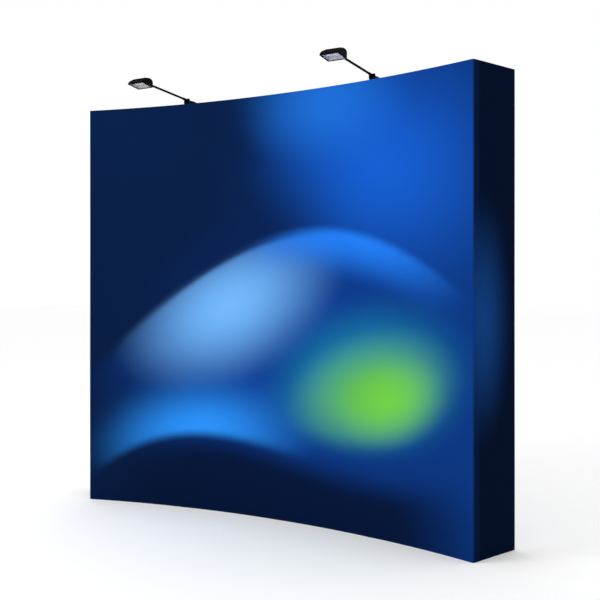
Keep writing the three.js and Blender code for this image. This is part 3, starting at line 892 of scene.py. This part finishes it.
    # end cheeks with a rounded rim
    full = [(F0, MOUTH_U)] + DOME + [(F1, MOUTH_U)]
    cf, cu = FC, -0.012
    for sg in (-1, 1):
        lps = []
        for x, k in ((HALF_W - 0.0035, 1.0), (HALF_W - 0.0016, 1.0), (HALF_W - 0.0006, 0.990), (HALF_W, 0.970)):
            lps.append([(sg * x, -(cf + (f - cf) * k), cu + (u - cu) * (k if u > cu else 1.0)) for f, u in full])
        q.add(loft(lps), M_LAMP)
        for f, u in ((0.028, -0.006), (0.066, -0.012)):
            q.add(turned(0.0026, 0, 0.0012, 0.0003, 18, "X") if sg > 0 else turned(0.0026, -0.0012, 0, 0.0003, 18, "X"), M_LAMP, Matrix.Translation((sg * (HALF_W - 0.0003), -f, u)))
    # flange round the mouth
    def mouth(u, w, ll, r):
        return [(x, -FC + y, u) for x, y in rounded_rect(w, ll, r, 5)]
    LW, LL = HEAD_W, F1 - F0
    q.add(loft([mouth(MOUTH_U, LW + 0.0030, LL + 0.0030, 0.004), mouth(MOUTH_U + 0.0024, LW + 0.0036, LL + 0.0036, 0.004), mouth(MOUTH_U + 0.0030, LW + 0.0016, LL + 0.0016, 0.003),
                mouth(MOUTH_U + 0.0030, LW - 0.0080, LL - 0.0080, 0.002), mouth(MOUTH_U, LW - 0.0100, LL - 0.0100, 0.002)], closed=True), M_LAMP)
    # cooling ribs that follow the dome
    ribs = [(f, u) for f, u in DOME if 0.016 < f < 0.084]
    for kx in range(-3, 4):
        x = kx * 0.0115
        out = inset_line(ribs, -0.0026)
        inn = inset_line(ribs, 0.0010)
        ol = [(f, u) for f, u in out] + [(f, u) for f, u in reversed(inn)]
        q.add(loft([[(x + w, -f, u) for f, u in ol] for w in (-0.0009, 0.0009)]), M_LAMP)
    for sg in (-1, 1):
        q.add(rbox(sg * 0.0125 - 0.0034, sg * 0.0125 + 0.0034, -0.0140, -0.0010, -0.0088, 0.0088, 0.0016, 2), M_LAMP)
        q.add(turned(0.0090, sg * 0.0125 - 0.0034, sg * 0.0125 + 0.0034, 0.0010, 36, "X"), M_LAMP)
    q.add(turned(0.0052, 0.0158, 0.0196, 0.0008, 6, "X"), M_STEEL)
    q.add(turned(0.0050, -0.0186, -0.0158, 0.0010, 24, "X"), M_STEEL)
    q.done(head, mh, [f"lamp_shell_{name}"], "lamp_black", 36)

    # reflector: a folded trough behind the glass, bright inside and grey outside
    q = Piece(f"lamp_reflector_{name}")
    W2, R0, R1 = HALF_W - 0.0060, F0 + 0.0050, F1 - 0.0060
    trough = smooth_line([(R0, -0.0285), (R0 + 0.006, -0.0220), (R0 + 0.020, -0.0110), (R0 + 0.036, -0.0075), (R0 + 0.052, -0.0110), (R1 - 0.007, -0.0210), (R1, -0.0285)], 4)
    back = inset_line(trough, -0.0007)
    ol = trough + back[::-1]
    q.add(loft([[(x, -f, u) for f, u in ol] for x in np.linspace(-W2, W2, 7)]), M_REFL)
    for sg in (-1, 1):
        q.add(loft([[(sg * (W2 - w), -f, u) for f, u in trough] for w in (0.0, 0.0007)]), M_REFL)
    q.done(head, mh, (), "lamp_glass", 40)
    q = Piece(f"lamp_burner_{name}")
    mt = Matrix.Translation((0, -(FC - 0.002), -0.0175))
    q.add(turned(0.0046, -0.026, 0.026, 0.002, 24, "X"), M_BURN, mt)
    for sg in (-1, 1):
        q.add(turned(0.0060, min(sg * 0.025, sg * 0.037), max(sg * 0.025, sg * 0.037), 0.0012, 24, "X"), M_BURN, mt)
        q.add(rbox(min(sg * 0.034, sg * 0.041), max(sg * 0.034, sg * 0.041), -0.007, 0.007, -0.005, 0.0080, 0.0015, 2), M_STEEL, mt)
    q.done(head, mh, (), "lamp_glass")
    q = Piece(f"lamp_pane_{name}")
    q.add(loft([mouth(MOUTH_U + 0.0008, LW - 0.0104, LL - 0.0104, 0.003), mouth(MOUTH_U + 0.0022, LW - 0.0104, LL - 0.0104, 0.003)]), M_GLASS)
    q.done(head, mh, [f"lamp_glass_{name}"], "lamp_glass")
    # spring clips that hold the glass
    q = Piece(f"lamp_glass_clips_{name}")
    for sg in (-1, 1):
        for f in (F0 + 0.020, F1 - 0.020):
            q.add(rbox(min(sg * 0.0425, sg * 0.0490), max(sg * 0.0425, sg * 0.0490), -f - 0.0028, -f + 0.0028, MOUTH_U - 0.0008, MOUTH_U + 0.0002, 0.0004, 1), M_LAMP)
    q.done(head, mh, (), "lamp_black")

# ------------------------------------------------------------------ floor, light, camera
fl = bpy.data.meshes.new("floor")
S = 40.0
fl.from_pydata([(-S, -S, 0), (S, -S, 0), (S, S, 0), (-S, S, 0)], [], [(0, 1, 2, 3)])
floor = bpy.data.objects.new("floor", fl)
bpy.context.scene.collection.objects.link(floor)
fm, n, l, p = new_mat("floor_pale")
p.inputs["Base Color"].default_value = (0.985, 0.985, 0.985, 1)
p.inputs["Roughness"].default_value = 0.9
p.inputs["Specular IOR Level"].default_value = 0.1
fl.materials.append(fm)

w = bpy.data.worlds.new("studio")
bpy.context.scene.world = w
w.use_nodes = True
w.node_tree.nodes["Background"].inputs["Color"].default_value = (1, 1, 1, 1)
w.node_tree.nodes["Background"].inputs["Strength"].default_value = 1.0


def area(name, where, target, size, power):
    d = bpy.data.lights.new(name, "AREA")
    d.shape = "DISK"
    d.size = size
    d.energy = power
    o = bpy.data.objects.new(name, d)
    bpy.context.scene.collection.objects.link(o)
    o.location = where
    o.rotation_euler = (Vector(target) - Vector(where)).to_track_quat("-Z", "Y").to_euler()


area("key", (-3.2, -4.2, 4.2), (0, 0, 1.2), 3.0, 120)

# camera at the photograph's place: level, 55 mm on a 36 mm frame, horizon a little above the middle
F_PX, T_X, T_Z, ROT, HORIZON, EYE = 918.1, -0.134, 4.919, math.radians(31.7), 285.04, 1.257
cs, sn = math.cos(ROT), math.sin(ROT)
cam_d = bpy.data.cameras.new("camera")
cam = bpy.data.objects.new("camera", cam_d)
bpy.context.scene.collection.objects.link(cam)
cam.location = (-cs * T_X + sn * T_Z, -sn * T_X - cs * T_Z + Y0, EYE)
look = Vector((-sn, cs, 0))
cam.rotation_euler = look.to_track_quat("-Z", "Y").to_euler()
cam_d.sensor_width = 36
cam_d.lens = F_PX / 600 * 36
cam_d.shift_y = (HORIZON - 300) / 600
cam_d.clip_end = 200
bpy.context.scene.camera = cam
bpy.context.scene.view_settings.view_transform = "Standard"
